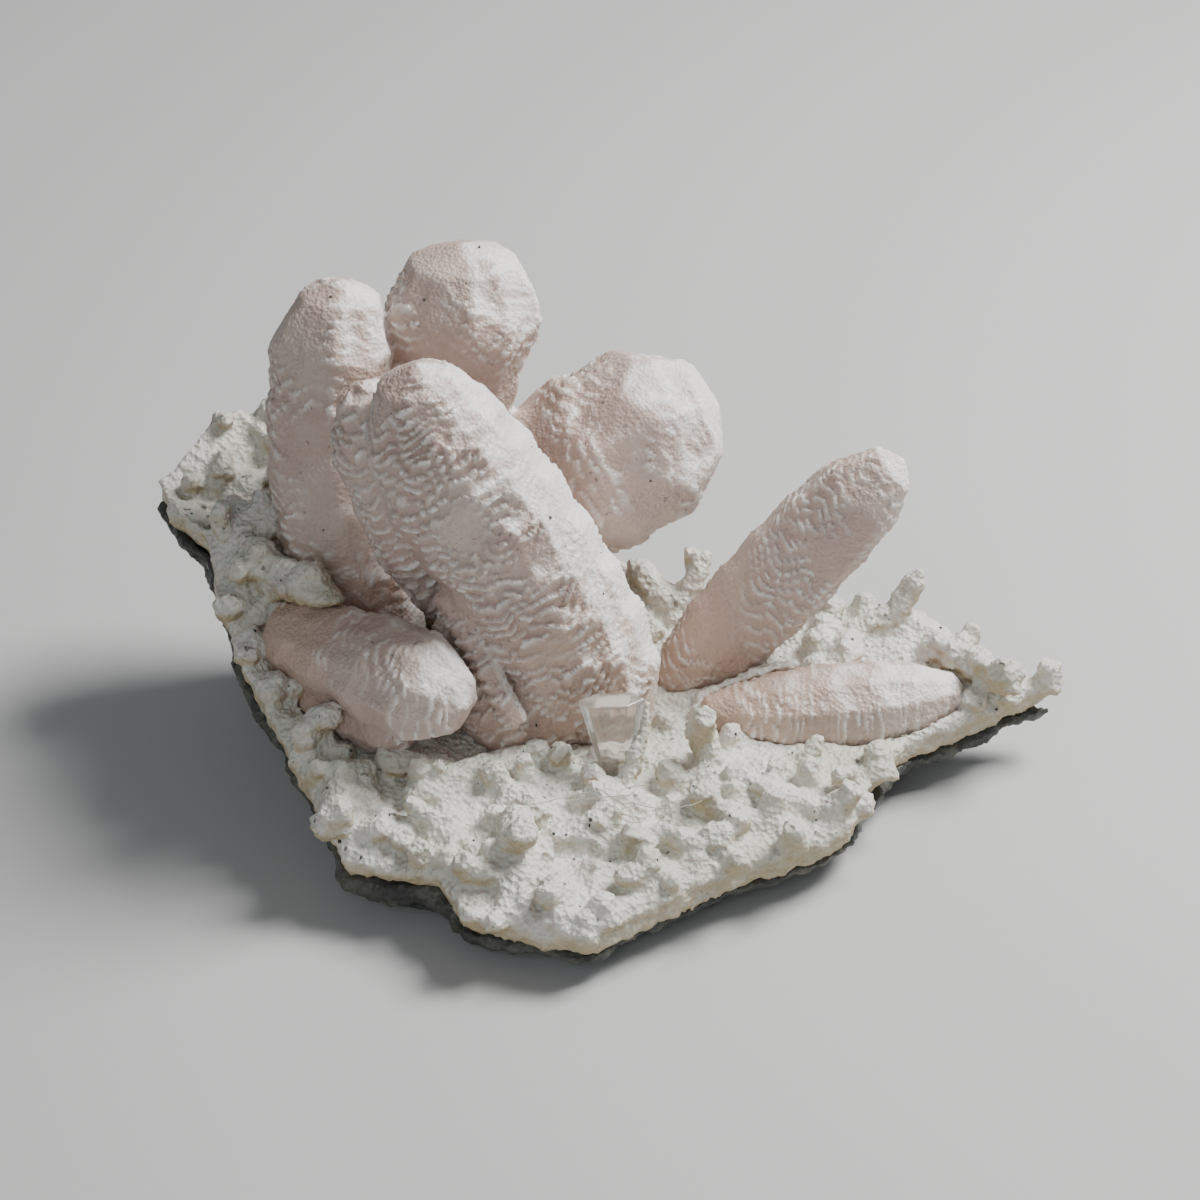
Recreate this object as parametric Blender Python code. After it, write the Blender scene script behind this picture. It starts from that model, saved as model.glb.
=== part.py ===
"""Manganoan calcite specimen.

A spray of pale pink, barrel-shaped calcite crystals stands on a broken plate of basalt. The rock is skinned by
a white drusy crust with small chisel-tipped fingers. The rock rests on a flat cut. Lengths here are in
millimetres and turn into metres when a mesh is finished. X runs to the right along the plate's long side,
Y runs to the back, and Z is up.
"""
import math
import random

import bpy
import bmesh
from mathutils import Vector, noise

MM = 0.001
GAP = 0.4
SEED = 7
FLAT_ANGLE = 8.0

# Where the plate is measured from, and how high its crust is there
HUB = Vector((-5.0, 14.0))
HUB_HEIGHT = 16.0

# The broken rim, anticlockwise from the front corner: x, y, height of the crust's upper edge, crust thickness
RIM = [
    (-2, -41, 12, 6.0), (4, -36, 12, 6.0), (16, -28, 13, 6.0), (29, -20, 13, 6.5), (36, -17, 13, 6.5),
    (46, -11, 14, 6.0), (48, -2, 14, 3.5), (57, 13, 14, 5.5), (68, 18, 15, 6.0), (86, 29, 16, 5.0),
    (68, 36, 21, 6.0), (62, 41, 25, 6.0), (50, 45, 23, 6.0), (38, 48, 21, 6.0), (23, 49, 21, 6.0),
    (16, 50, 22, 6.0), (8, 53, 27, 6.0), (-2, 57, 30, 6.0), (-20, 62, 31, 6.0), (-42, 66, 39, 6.0),
    (-58, 68, 48, 6.0), (-69, 65, 56, 5.5), (-78, 56, 52, 5.5), (-84, 50, 49, 4.5), (-79, 41, 47, 4.0),
    (-74, 38, 45, 4.0), (-72, 28, 40, 6.0), (-66, 12, 33, 4.0), (-60, 3, 27, 5.5), (-55, -5, 21, 5.5),
    (-46, -22, 14, 4.0), (-29, -26, 13, 3.5), (-25, -34, 12, 5.5),
]
WALL_CURVE = 2.2
HUB_THICKNESS = 9.0
CHIP = 2.2
LUMP = 1.6
RIM_CHAMFER = 1.0
LOWER_RIM = 0.985
TOP_SHARES = [0.2, 0.38, 0.53, 0.66, 0.77, 0.87, 0.96]
UNDER_SHARES = [0.8, 0.5, 0.2]

# The flat cut the rock rests on, anticlockwise from the front
BASE = [
    (-3, -33), (38, -5), (57, 26), (48, 42), (0, 50), (-40, 58), (-62, 56), (-66, 45), (-53, 15), (-43, -10),
]
UNDERCUT = 2.4
BACK_UNDERCUT = 0.9
BACK_START = 42.0
BACK_BLEND = 16.0
FOOT_RISE = 0.6
ROCK_GAP = 0.5
ROCK_CLEARANCE = 0.2
ROCK_FACE = 1.5
THICK_CRUST = 6.0
BARE_FACE = 1.2
ROCK_LEAST = 2.5
ROCK_BULGE = 0.012
ROUGH = 1.6
FLANK_SHARES = [0.25, 0.5, 0.72, 0.88, 1.0]

# Rises and hollows of the crust: x, y, height, radius
MOUNDS = [
    (-30, -6, 3.0, 11), (-14, -4, 2.5, 9), (-38, 24, -3.5, 10), (0, 4, 1.5, 9), (22, 24, 2.0, 8),
    (36, -2, 1.0, 8), (60, 27, 2.0, 9), (-62, 40, 3.0, 9), (-56, 24, 3.0, 8), (-46, -8, 1.5, 7),
]

# Small crystals of the crust: foot x, foot y, how far the foot is lifted from the crust's surface, heading and
# rise in degrees, length, width
FINGERS = [
    (9, 18, 8, -8, 5, 13, 6), (22, 0, -2, 140, 65, 13, 6), (4, -5, -2, 62, 59, 19, 4),
    (-3, -9, -2, -90, 80, 6, 5), (-12, 3, -2, 86, 77, 6, 6), (15, -2, -2, -167, 63, 8, 6),
    (38, -2, -2, 94, 79, 7, 5), (44, -10, -2, 160, 17, 20, 6), (11, -16, -2, 50, 17, 17, 6),
    (6, -14, -3, 95, 37, 10, 9), (4, -19, -2, 167, 22, 13, 7), (-15, -34, -2, 90, 28, 22, 8),
    (-28, -24, -2, -27, 22, 13, 5), (-30, -19, -2, 76, 56, 7, 5), (-13, 4, -1, -147, 6, 28, 7),
    (17, -23, -2, 99, 48, 8, 6), (36, -13, -2, 171, 15, 19, 5), (14, -24, -2, -150, 21, 14, 5),
    (2, -37, -2, 124, 58, 7, 5), (-7, -38, -2, 92, 33, 11, 6), (22, -22, -2, 88, 54, 6, 5),
    (-42, -11, -2, 108, 79, 5, 6), (46, -2, -1, 90, 66, 4, 4), (18, 20, 0, 16, 16, 21, 4),
    (40, 33, -2, 96, 79, 5, 4), (43, 37, -1, 8, 22, 16, 5), (55, 39, -2, 21, 61, 14, 5),
    (67, 32, -1, -50, 8, 18, 5), (63, 31, -1, 78, 45, 6, 5), (76, 23, -1, 74, 38, 7, 5),
    (52, 3, -2, 100, 48, 8, 6), (13, 43, -2, 44, 51, 18, 5), (17, 45, -2, 154, 41, 17, 6),
    (-74, 43, -1, 163, 27, 9, 6), (-71, 52, -1, 143, 25, 10, 6), (-62, 61, -1, 153, 51, 8, 5),
    (-72, 37, -1, 18, 8, 22, 7), (-69, 50, -2, 67, 43, 9, 8), (-61, 52, -2, 70, 48, 8, 7),
    (-68, 36, -2, -45, 9, 30, 9), (-62, 30, -2, -43, 14, 20, 9), (-67, 24, -2, 88, 38, 13, 6),
    (-53, -3, -2, 86, 41, 11, 8), (-47, -17, -2, 88, 41, 12, 8), (-44, -8, -2, 81, 67, 7, 6),
]
FINGER_SIDES = 6

# Rows of a finger from tip to foot: place along it, breadth and thickness as a share of its half width
FINGER_ROWS = [(0.95, 0.62, 0.34), (0.78, 1.0, 0.94), (0.02, 1.15, 1.1)]

# The look-down direction that the broad sides of the crystals face
FRONT = Vector((0.0, -math.cos(math.radians(35)), math.sin(math.radians(35))))

# How far a ledge runs up and down from corner to corner, as a share of the ledges' spacing
ZIGZAG = 0.15
LEDGE_RUN = 0.14

# Crystal stations from foot to tip: x, y, z, half width
MAIN_BODY = [
    (-1, 20, 13, 11), (-2, 19, 21, 14), (-5, 19, 29, 15.8), (-17, 17, 56, 15.3), (-26, 16, 72, 14.8),
    (-30.5, 15, 84, 12), (-32, 14.5, 92, 7.5), (-32.5, 14.5, 95.5, 2),
]
MAIN_LOBE = [(-24, 26, 34, 5), (-31, 24, 47, 8), (-37, 24, 65, 9.3), (-40.5, 24, 76, 8.3), (-42, 24, 83, 5.5),
             (-42.5, 24, 86, 2)]
MAIN_FLANK = [(-10, 12, 11, 7), (-15, 11, 19, 8.5), (-22, 12, 29, 7.5), (-27, 14, 38, 5), (-29, 15, 42, 1.5)]
MAIN_PRISM = [(-15, 3, 25, 2.6), (-18, 4, 32, 2.8), (-28, 10.5, 48.5, 2.8), (-28.9, 11, 50, 2)]
REAR_LEFT = [(-40, 31, 17, 8), (-41, 32, 24, 9.5), (-47, 35, 40, 11.4), (-50, 40, 54, 11.8), (-50, 44, 69, 11.8),
             (-49, 46, 81, 11.4), (-47.5, 48, 89, 8), (-47.5, 48, 93, 2)]
REAR_MIDDLE = [(-33, 45, 19, 9), (-31, 49, 40, 10.5), (-28, 52, 64, 11.5), (-25.8, 53, 79, 14), (-25, 54, 87, 14.8),
               (-25.3, 55, 93, 10), (-25.3, 55, 96.5, 2)]
REAR_RIGHT = [(-26, 45, 36, 9), (-20, 45, 41, 13), (-10, 46, 48, 16.3), (0, 47, 53.7, 17.3), (7.5, 48, 58, 17.2),
              (15, 49, 61.8, 14.5), (19.6, 50, 63.4, 10), (22.4, 50, 64.5, 3)]
RIGHT_BODY = [(14.5, 28, 11, 5), (16, 30, 15.5, 6.3), (21, 31, 22, 8.3), (30, 32, 32.6, 9.4), (38, 33, 42.6, 9.5),
              (46, 33, 52.7, 8.8), (52, 33, 59.7, 6.7), (56, 33, 63.6, 2)]
LYING_BODY = [(19, 15, 18, 3), (22, 16, 18.2, 4.3), (30, 17, 17.5, 6.9), (41.5, 19, 17, 8.5), (53, 21, 16.8, 8.2),
              (62, 23, 17, 6), (69, 25, 17.2, 2.4)]
LEFT_BODY = [(-60.5, 21, 33, 6), (-55.4, 18, 33.4, 8.3), (-47.7, 12, 34.3, 9.2), (-39.1, 5, 35.5, 10.3),
             (-31.6, -1, 35.9, 10.1), (-26.6, -4, 35.4, 7.6), (-24, -6, 35.4, 2.8)]
LEFT_LOBE = [(-54, 14, 26, 5), (-49.7, 10, 26, 6), (-42.1, 5, 26.5, 7.2), (-36.5, 1, 25.5, 6), (-33.5, -1, 25, 2)]

CLEAR_WEDGE = [(3.2, -1.2, 11, 1.6), (3.1, -0.8, 16, 2.4), (2.7, 0, 23, 4.2), (2.4, 0.6, 29, 6), (2.2, 1, 32.4, 6.6),
               (2.2, 1, 33.2, 5)]


def seeded(name):
    """A random source of its own for each piece, the same in each run."""
    source = random.Random()
    source.seed(name + str(SEED), version=2)
    return source


def smooth(stations, place):
    """A point of the smooth curve through the stations, at a share of its length from the first station."""
    count = len(stations)
    reached = [0.0]
    for start, end in zip(stations, stations[1:]):
        reached.append(reached[-1] + (Vector(end[:3]) - Vector(start[:3])).length)
    goal = min(max(place, 0.0), 1.0) * reached[-1]
    index = max(k for k in range(count - 1) if reached[k] <= goal)
    span = reached[index + 1] - reached[index]
    step = (goal - reached[index]) / span

    def slope(k, axis):
        low = max(k - 1, 0)
        high = min(k + 1, count - 1)
        return (stations[high][axis] - stations[low][axis]) / (reached[high] - reached[low]) * span

    point = []
    for axis in range(4):
        a = stations[index][axis]
        b = stations[index + 1][axis]
        leave = slope(index, axis)
        arrive = slope(index + 1, axis)
        square = 3 * (b - a) - 2 * leave - arrive
        cube = 2 * (a - b) + leave + arrive
        point.append(a + leave * step + square * step ** 2 + cube * step ** 3)
    return point


def new_material(name, colour, roughness):
    material = bpy.data.materials.new(name)
    material.use_nodes = True
    shader = material.node_tree.nodes["Principled BSDF"]
    shader.inputs["Base Color"].default_value = (*colour, 1.0)
    shader.inputs["Roughness"].default_value = roughness
    shader.inputs["Metallic"].default_value = 0.0
    return material


def new_object(name, mesh_data, collection):
    """Finish a mesh in metres and link it."""
    bmesh.ops.scale(mesh_data, vec=(MM, MM, MM), verts=mesh_data.verts)
    bmesh.ops.recalc_face_normals(mesh_data, faces=mesh_data.faces)
    mesh = bpy.data.meshes.new(name)
    mesh_data.to_mesh(mesh)
    mesh_data.free()
    thing = bpy.data.objects.new(name, mesh)
    collection.objects.link(thing)
    return thing


def shaped_sphere(name, sides, rings, place, collection):
    """A sphere primitive whose every point goes to place(side, ring); ring 0 is its tip and the last its foot.

    Each four-cornered face is split from its corner nearest the hub, so the crust's lower side and the rock's
    top, which have the same corners seen from above, bend along the same lines.
    """
    shape = bmesh.new()
    bmesh.ops.create_uvsphere(shape, u_segments=sides, v_segments=rings, radius=1.0)
    for vertex in shape.verts:
        ring = round(math.acos(max(-1.0, min(1.0, vertex.co.z))) / math.pi * rings)
        side = round(math.atan2(-vertex.co.x, vertex.co.y) / math.tau * sides) % sides
        vertex.co = place(side, ring)
    for face in [face for face in shape.faces if len(face.verts) == 4]:
        corners = list(face.verts)
        nearest = min(range(4), key=lambda k: (corners[k].co.xy - HUB).length_squared)
        bmesh.utils.face_split(face, corners[nearest], corners[(nearest + 2) % 4])
    return new_object(name, shape, collection)


def outline_reach(outline, heading):
    """How far an outline lies from the hub along a heading, with the other values of the outline there."""
    ahead = Vector((math.cos(heading), math.sin(heading)))
    count = len(outline)
    for index in range(count):
        start = outline[index]
        end = outline[(index + 1) % count]
        from_hub = Vector(start[:2]) - HUB
        edge = Vector(end[:2]) - Vector(start[:2])
        crossing = ahead.x * edge.y - ahead.y * edge.x
        if abs(crossing) < 1e-9:
            continue
        share = (from_hub.x * ahead.y - from_hub.y * ahead.x) / crossing
        reach = (from_hub.x * edge.y - from_hub.y * edge.x) / crossing
        if -1e-6 <= share <= 1 + 1e-6 and reach > 0:
            values = [a + (b - a) * share for a, b in zip(start[2:], end[2:])]
            return reach, values
    raise ValueError("the outline doesn't go round the hub")


def crust_level(x, y):
    """Height of the crust's upper side, without its small lumps."""
    offset = Vector((x, y)) - HUB
    if offset.length < 1e-6:
        return HUB_HEIGHT
    reach, values = outline_reach(RIM, math.atan2(offset.y, offset.x))
    share = min(offset.length / reach, 1.0)
    level = HUB_HEIGHT + (values[0] - HUB_HEIGHT) * share ** WALL_CURVE
    return level


def crust_height(x, y):
    """Height of the crust's upper side with its rises and hollows."""
    level = crust_level(x, y)
    for mound_x, mound_y, rise, radius in MOUNDS:
        level += rise * math.exp(-((x - mound_x) ** 2 + (y - mound_y) ** 2) / radius ** 2)
    return level


def rim_corner(side):
    """The rim at a side of the plate: its own corners, and a chipped point halfway between each two."""
    count = len(RIM)
    start = RIM[side // 2]
    if side % 2 == 0:
        return list(start)
    end = RIM[(side // 2 + 1) % count]
    middle = [(a + b) / 2 for a, b in zip(start, end)]
    outward = (Vector(middle[:2]) - HUB).normalized()
    chip = CHIP * noise.noise(Vector((middle[0], middle[1], 5.0)) * 0.21)
    middle[0] += outward.x * chip
    middle[1] += outward.y * chip
    return middle


def underside(side, share):
    """A point of the crust's lower side, between the hub at share 0 and the rim at share 1."""
    x, y, level, thickness = rim_corner(side)
    place = HUB.lerp(Vector((x, y)), share)
    height = HUB_HEIGHT + (level - HUB_HEIGHT) * share ** WALL_CURVE
    height -= HUB_THICKNESS + (thickness - HUB_THICKNESS) * share
    return Vector((place.x, place.y, height))


def underside_height(x, y):
    """Height of the crust's lower side above a place of the plan."""
    offset = Vector((x, y)) - HUB
    reach, values = outline_reach(RIM, math.atan2(offset.y, offset.x))
    level, thickness = values
    share = min(offset.length / reach, 1.0)
    height = HUB_HEIGHT + (level - HUB_HEIGHT) * share ** WALL_CURVE
    return height - HUB_THICKNESS - (thickness - HUB_THICKNESS) * share


def crust_point(side, ring):
    """Where a point of the bare crust lies: rings run from the hub over the top, round the rim and back below."""
    rings = len(TOP_SHARES) + 2 + len(UNDER_SHARES) + 1
    x, y, level, thickness = rim_corner(side)
    if ring == 0:
        return Vector((HUB.x, HUB.y, crust_height(HUB.x, HUB.y)))
    if ring <= len(TOP_SHARES):
        place = HUB.lerp(Vector((x, y)), TOP_SHARES[ring - 1])
        lump = LUMP * noise.noise(Vector((place.x, place.y, 0.0)) * 0.17)
        return Vector((place.x, place.y, crust_height(place.x, place.y) + lump))
    if ring == len(TOP_SHARES) + 1:
        return Vector((x, y, level - RIM_CHAMFER))
    if ring == len(TOP_SHARES) + 2:
        return underside(side, LOWER_RIM)
    if ring < rings:
        return underside(side, UNDER_SHARES[ring - len(TOP_SHARES) - 3])
    return Vector((HUB.x, HUB.y, HUB_HEIGHT - HUB_THICKNESS))


def rock_point(side, ring):
    """Where a point of the rock lies: its top follows the crust's lower side, and its flanks taper to the cut."""
    below = Vector((0.0, 0.0, -ROCK_GAP))
    top_rows = list(reversed(UNDER_SHARES)) + [LOWER_RIM]
    if ring == 0:
        return Vector((HUB.x, HUB.y, HUB_HEIGHT - HUB_THICKNESS)) + below
    if ring <= len(top_rows):
        return underside(side, top_rows[ring - 1]) + below
    thickness = rim_corner(side)[3]
    bulge = (THICK_CRUST - thickness) * ROCK_BULGE
    face = max(ROCK_FACE, (THICK_CRUST + ROCK_FACE - thickness) * BARE_FACE)
    edge = underside(side, LOWER_RIM) + below
    if ring == len(top_rows) + 1:
        outer = underside(side, LOWER_RIM + bulge)
        return Vector((outer.x, outer.y, edge.z - 0.3 * face))
    lower = underside(side, LOWER_RIM - 0.01 + bulge)
    lower.z = edge.z - face
    down = ring - len(top_rows) - 2
    if down == 0:
        return lower
    if down > len(FLANK_SHARES):
        return Vector((HUB.x, HUB.y, 0.0))
    share = FLANK_SHARES[down - 1]
    offset = Vector(lower[:2]) - HUB
    heading = math.atan2(offset.y, offset.x)
    reach = outline_reach(BASE, heading)[0]
    foot = HUB + Vector((math.cos(heading), math.sin(heading))) * reach
    place = Vector(lower[:2]).lerp(foot, share)
    backness = min(max((lower.y - BACK_START) / BACK_BLEND, 0.0), 1.0)
    undercut = UNDERCUT + (BACK_UNDERCUT - UNDERCUT) * backness
    point = Vector((place.x, place.y, lower.z * (1 - share ** undercut)))
    if share < 1:
        point += noise.noise_vector(point * 0.13) * ROUGH
        roof = underside_height(point.x, point.y) - ROCK_GAP - ROCK_LEAST
        point.z = max(min(point.z, roof), FOOT_RISE)
    return point


def crystal(name, stations, sides, ledges, collection, depth=0.9, ledge=0.08):
    """A barrel of stacked growth plates along its stations, with a ledge where each plate ends."""
    source = seeded(name)
    corners = [math.tau * (k + source.uniform(-0.16, 0.16)) / sides for k in range(sides)]
    reaches = [source.uniform(0.95, 1.03) for _ in range(sides)]
    rows = [(0.02, 1.0)]
    spacing = 0.84 / max(ledges, 1)
    for step in range(ledges):
        middle = 0.08 + spacing * (step + 0.5)
        rows.append((middle - LEDGE_RUN * spacing, 1 + ledge / 2))
        rows.append((middle + LEDGE_RUN * spacing, 1 - ledge / 2))
    rows.append((0.955, 1.0))
    rings = len(rows) + 1
    tip_ring = list(reversed(rows))

    def place(side, ring):
        if ring == 0:
            return Vector(smooth(stations, 1.0)[:3])
        if ring == rings:
            return Vector(smooth(stations, 0.0)[:3])
        along, size = tip_ring[ring - 1]
        if 0.05 < along < 0.95:
            along += spacing * (ZIGZAG if side % 2 else -ZIGZAG)
        x, y, z, half = smooth(stations, along)
        ahead = Vector(smooth(stations, along + 0.02)[:3]) - Vector(smooth(stations, along - 0.02)[:3])
        ahead.normalize()
        across = FRONT.cross(ahead).normalized()
        front = ahead.cross(across)
        angle = corners[side]
        reach = half * size * reaches[side]
        offset = across * math.cos(angle) + front * (math.sin(angle) * depth)
        return Vector((x, y, z)) + offset * reach

    return shaped_sphere(name, sides, rings, place, collection)


def finger(number, x, y, lift, heading, rise, length, width, collection):
    """A small prism of the crust with a chisel tip."""
    source = seeded("finger" + str(number))
    foot = Vector((x, y, crust_height(x, y) + lift))
    turn = math.radians(heading)
    climb = math.radians(rise)
    ahead = Vector((math.cos(turn) * math.cos(climb), math.sin(turn) * math.cos(climb), math.sin(climb)))
    across = ahead.cross(Vector((0.1, 0.2, 1.0))).normalized()
    up = across.cross(ahead).normalized()
    start = source.uniform(0.0, math.tau)
    half = width / 2
    reaches = [source.uniform(0.9, 1.08) for _ in range(FINGER_SIDES)]
    rings = len(FINGER_ROWS) + 1

    def place(side, ring):
        if ring == 0:
            return foot + ahead * length
        if ring == rings:
            return foot
        along, wide, thick = FINGER_ROWS[ring - 1]
        angle = start + math.tau * side / FINGER_SIDES
        reach = half * reaches[side]
        offset = across * (math.cos(angle) * wide) + up * (math.sin(angle) * thick)
        return foot + ahead * (length * along) + offset * reach

    return shaped_sphere("finger_" + str(number), FINGER_SIDES, rings, place, collection)


def combine(target, tool, operation):
    """Join a tool to a target or cut it away, and keep the result as the target's mesh."""
    modifier = target.modifiers.new(operation.title(), "BOOLEAN")
    modifier.operation = operation
    modifier.solver = "EXACT"
    modifier.object = tool
    view = bpy.context.evaluated_depsgraph_get()
    result = bpy.data.meshes.new_from_object(target.evaluated_get(view))
    target.modifiers.clear()
    old = target.data
    target.data = result
    bpy.data.meshes.remove(old)


def unite(target, tools):
    for tool in tools:
        combine(target, tool, "UNION")
        bpy.data.objects.remove(tool)


def larger_copy(thing, growth):
    """A cutter of a thing's shape, larger all round."""
    cutter = bpy.data.objects.new(thing.name + "_socket", thing.data.copy())
    CUTTERS.objects.link(cutter)
    cutter.hide_render = True
    cutter.display_type = "WIRE"
    grow = cutter.modifiers.new("Grow", "DISPLACE")
    grow.mid_level = 0.0
    grow.strength = growth * MM
    return cutter


def grow_together(bodies):
    """Join overlapping crystals in one solid, and keep a larger copy of each body to cut its socket with."""
    for body in bodies:
        larger_copy(body, GAP)
    unite(bodies[0], bodies[1:])
    return bodies[0]


def keep_largest(thing):
    """Drop chips that a cut has parted from the body."""
    shape = bmesh.new()
    shape.from_mesh(thing.data)
    unseen = set(shape.verts)
    islands = []
    while unseen:
        island = set()
        front = [unseen.pop()]
        while front:
            vertex = front.pop()
            island.add(vertex)
            for edge in vertex.link_edges:
                other = edge.other_vert(vertex)
                if other in unseen:
                    unseen.discard(other)
                    front.append(other)
        islands.append(island)
    islands.sort(key=len, reverse=True)
    for island in islands[1:]:
        bmesh.ops.delete(shape, geom=list(island), context="VERTS")
    print(thing.name, "chips dropped:", [len(island) for island in islands[1:]])
    shape.to_mesh(thing.data)
    shape.free()


def merge_flat_faces(thing):
    """Join neighbouring faces that lie nearly in one plane, which cuts have left as thin strips."""
    shape = bmesh.new()
    shape.from_mesh(thing.data)
    bmesh.ops.dissolve_limit(
        shape, angle_limit=math.radians(FLAT_ANGLE), verts=shape.verts, edges=shape.edges, delimit={"NORMAL"},
    )
    bmesh.ops.triangulate(shape, faces=shape.faces)
    shape.to_mesh(thing.data)
    shape.free()


def give_material(thing, material):
    thing.data.materials.clear()
    thing.data.materials.append(material)


# Start from an empty scene
for old_object in list(bpy.data.objects):
    bpy.data.objects.remove(old_object)
PIECES = bpy.data.collections.new("manganoan_calcite_specimen")
bpy.context.scene.collection.children.link(PIECES)
CUTTERS = bpy.data.collections.new("cutters")
bpy.context.scene.collection.children.link(CUTTERS)

# Crystals
main_crystal = grow_together([
    crystal("main_crystal", MAIN_BODY, 12, 7, PIECES),
    crystal("main_lobe", MAIN_LOBE, 9, 4, PIECES),
    crystal("main_flank", MAIN_FLANK, 8, 3, PIECES),
    crystal("main_prism", MAIN_PRISM, 6, 0, PIECES),
])
rear_crystals = grow_together([
    crystal("rear_crystals", REAR_LEFT, 11, 6, PIECES),
    crystal("rear_middle", REAR_MIDDLE, 11, 5, PIECES),
    crystal("rear_right", REAR_RIGHT, 12, 4, PIECES),
])
right_crystal = grow_together([crystal("right_crystal", RIGHT_BODY, 10, 6, PIECES, ledge=0.05)])
lying_crystal = grow_together([crystal("lying_crystal", LYING_BODY, 11, 5, PIECES, ledge=0.05)])
left_crystal = grow_together([
    crystal("left_crystal", LEFT_BODY, 11, 4, PIECES),
    crystal("left_lobe", LEFT_LOBE, 8, 3, PIECES),
])
clear_crystal = grow_together([crystal("clear_crystal", CLEAR_WEDGE, 6, 0, PIECES, depth=0.45)])
crystals = [main_crystal, rear_crystals, right_crystal, lying_crystal, left_crystal, clear_crystal]

# Where crystals meet, the one in front keeps its shape
for cutter in CUTTERS.objects:
    if cutter.name.startswith("main"):
        for thing in [rear_crystals, left_crystal, clear_crystal]:
            combine(thing, cutter, "DIFFERENCE")
    if cutter.name.startswith("rear"):
        combine(right_crystal, cutter, "DIFFERENCE")
for thing in crystals[1:]:
    keep_largest(thing)

# Crust and rock
crust_rings = len(TOP_SHARES) + len(UNDER_SHARES) + 3
drusy_crust = shaped_sphere("drusy_crust", 2 * len(RIM), crust_rings, crust_point, PIECES)
unite(drusy_crust, [finger(number, *row, PIECES) for number, row in enumerate(FINGERS)])
rock_rings = len(UNDER_SHARES) + len(FLANK_SHARES) + 4
basalt_matrix = shaped_sphere("basalt_matrix", 2 * len(RIM), rock_rings, rock_point, PIECES)
for cutter in CUTTERS.objects:
    combine(drusy_crust, cutter, "DIFFERENCE")
    combine(basalt_matrix, cutter, "DIFFERENCE")
merge_flat_faces(drusy_crust)
combine(drusy_crust, larger_copy(basalt_matrix, ROCK_CLEARANCE), "DIFFERENCE")
for thing in [drusy_crust, basalt_matrix]:
    keep_largest(thing)

# Materials
calcite = new_material("calcite", (0.74, 0.62, 0.56), 0.35)
druse = new_material("druse", (0.74, 0.74, 0.68), 0.6)
basalt = new_material("basalt", (0.06, 0.065, 0.06), 0.85)
clear = new_material("clear_calcite", (0.80, 0.78, 0.74), 0.15)
for thing in crystals[:-1]:
    give_material(thing, calcite)
give_material(clear_crystal, clear)
give_material(drusy_crust, druse)
give_material(basalt_matrix, basalt)
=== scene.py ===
# %% [markdown]
# A manganoan calcite specimen
# This lesson dresses a spray of pale pink calcite crystals on a plate of basalt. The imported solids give
# each piece its size and place. They could be shown as they are, with a material each, but real crystals
# have fine growth ledges and the crust is sugary, so every piece here is a copy of its solid with a finer
# surface.

# %% Load the solids
import math

import bmesh
import bpy
import numpy as np
from mathutils import Matrix, Vector


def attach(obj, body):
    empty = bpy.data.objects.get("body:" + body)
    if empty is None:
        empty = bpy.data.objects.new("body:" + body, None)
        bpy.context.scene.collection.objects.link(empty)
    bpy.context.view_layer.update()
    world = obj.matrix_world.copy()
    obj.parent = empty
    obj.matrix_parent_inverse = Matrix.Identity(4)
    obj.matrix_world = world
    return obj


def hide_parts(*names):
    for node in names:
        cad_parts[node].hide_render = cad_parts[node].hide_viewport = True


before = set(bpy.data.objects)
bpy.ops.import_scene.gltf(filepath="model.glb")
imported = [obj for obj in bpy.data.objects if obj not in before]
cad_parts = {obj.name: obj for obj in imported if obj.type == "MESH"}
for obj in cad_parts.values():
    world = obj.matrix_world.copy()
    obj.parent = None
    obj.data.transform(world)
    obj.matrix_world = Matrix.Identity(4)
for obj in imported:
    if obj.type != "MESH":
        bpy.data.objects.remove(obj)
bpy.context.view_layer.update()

SEED = 11
MM = 0.001
print("solids:", sorted(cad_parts))

# %% [markdown]
# The camera stands in front of the plate and looks down on it by 35 degrees, with a long lens, as for a
# catalogue picture. Its place is worked out from the distance and the angle, so both are easy to change.

# %% Camera
LOOK_DOWN = math.radians(35)
DISTANCE = 0.7
AIM_HEIGHT = 0.055
LENS = 118.1
FILM_WIDTH = 36
NEAREST = 0.01
camera_data = bpy.data.cameras.new("camera")
camera_data.lens = LENS
camera_data.sensor_width = FILM_WIDTH
camera_data.clip_start = NEAREST
camera = bpy.data.objects.new("camera", camera_data)
camera.location = (0, -DISTANCE * math.cos(LOOK_DOWN), AIM_HEIGHT + DISTANCE * math.sin(LOOK_DOWN))
camera.rotation_euler = (math.pi / 2 - LOOK_DOWN, 0, 0)
bpy.context.scene.collection.objects.link(camera)
bpy.context.scene.camera = camera
print("camera stands at", [round(value, 3) for value in camera.location])

# %% [markdown]
# The floor is a plain pale sheet, and one big plane is enough for it. It lies half a millimetre below the
# rock's flat cut, so that the two faces don't mix.

# %% Floor
FLOOR_SIZE = 6
FLOOR_GAP = 0.5 * MM
FLOOR_GREY = 0.55
FLOOR_ROUGHNESS = 0.8
bpy.ops.mesh.primitive_plane_add(size=FLOOR_SIZE, location=(0, 0, -FLOOR_GAP))
floor = bpy.context.object
floor.name = "floor"
floor_paint = bpy.data.materials.new("floor_paint")
floor_paint.use_nodes = True
floor_shader = floor_paint.node_tree.nodes["Principled BSDF"]
floor_shader.inputs["Base Color"].default_value = (FLOOR_GREY, FLOOR_GREY, FLOOR_GREY, 1)
floor_shader.inputs["Roughness"].default_value = FLOOR_ROUGHNESS
floor.data.materials.append(floor_paint)
print("floor is", FLOOR_SIZE, "m wide")

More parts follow.
